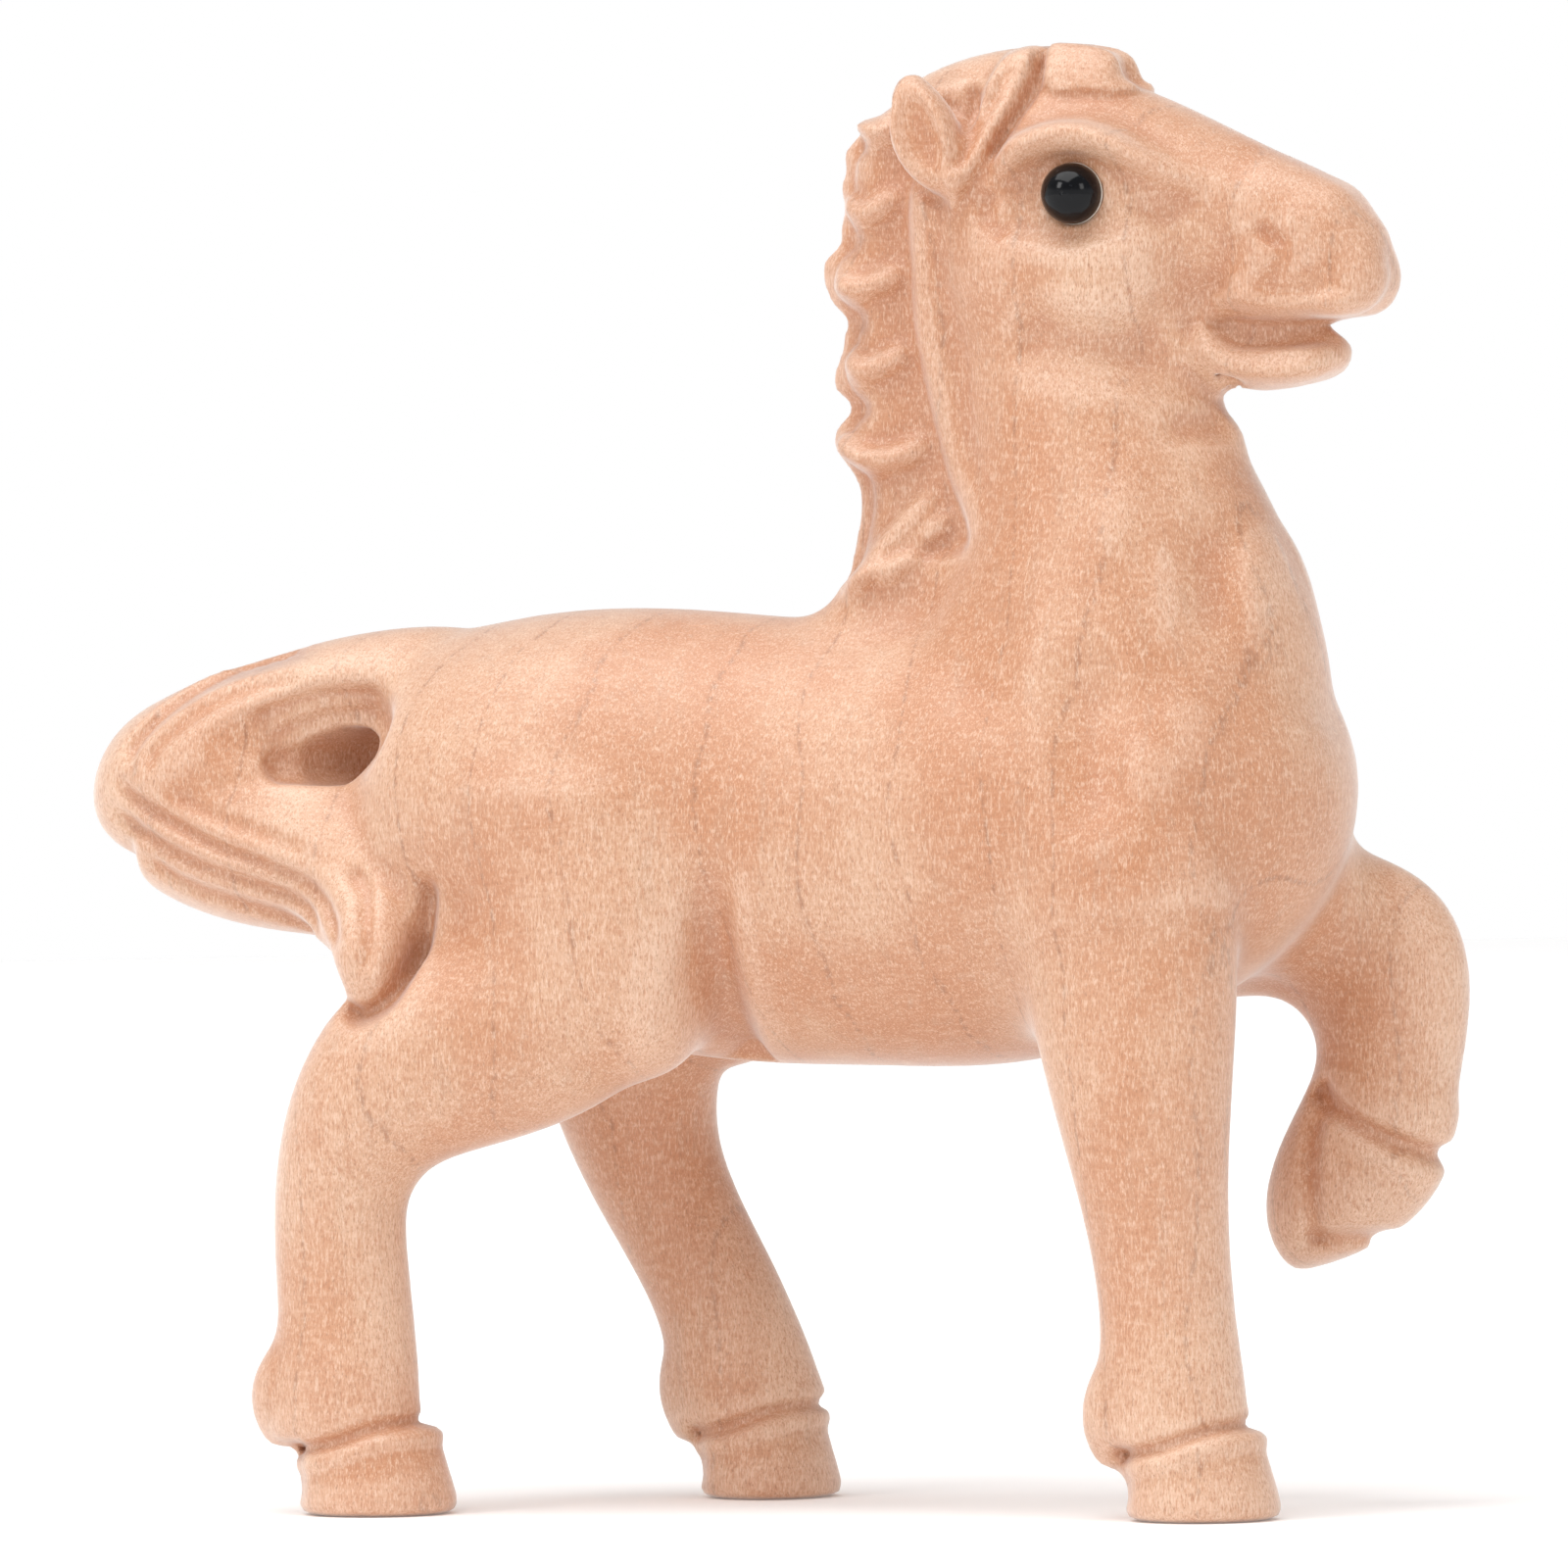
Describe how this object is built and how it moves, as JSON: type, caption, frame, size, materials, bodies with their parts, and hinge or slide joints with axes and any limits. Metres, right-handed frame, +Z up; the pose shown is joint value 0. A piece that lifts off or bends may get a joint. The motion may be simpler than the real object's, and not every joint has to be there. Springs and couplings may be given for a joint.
{
  "type": "carved wooden horse figurine",
  "caption": "Prancing horse carved from one block of pale wood, standing on three hooves with a foreleg raised, with inset glossy black bead eyes.",
  "frame": {"origin": "on the ground, under the middle of the horse's bounding box", "axes": "+X forwards towards the nose, +Y to the horse's left, +Z up"},
  "size_m": [0.069, 0.0226, 0.072],
  "materials": {
    "wood_body": "smooth bare wood, satin sheen",
    "eye_bead": "polished, opaque black",
    "eye_glue": "dried clear craft glue, milky where thick"
  },
  "bodies": {
    "root": {"carved_horse": "wood_body", "right_eye": "eye_bead", "left_eye": "eye_bead", "right_eye_glue": "eye_glue", "left_eye_glue": "eye_glue"}
  },
  "joints": []
}
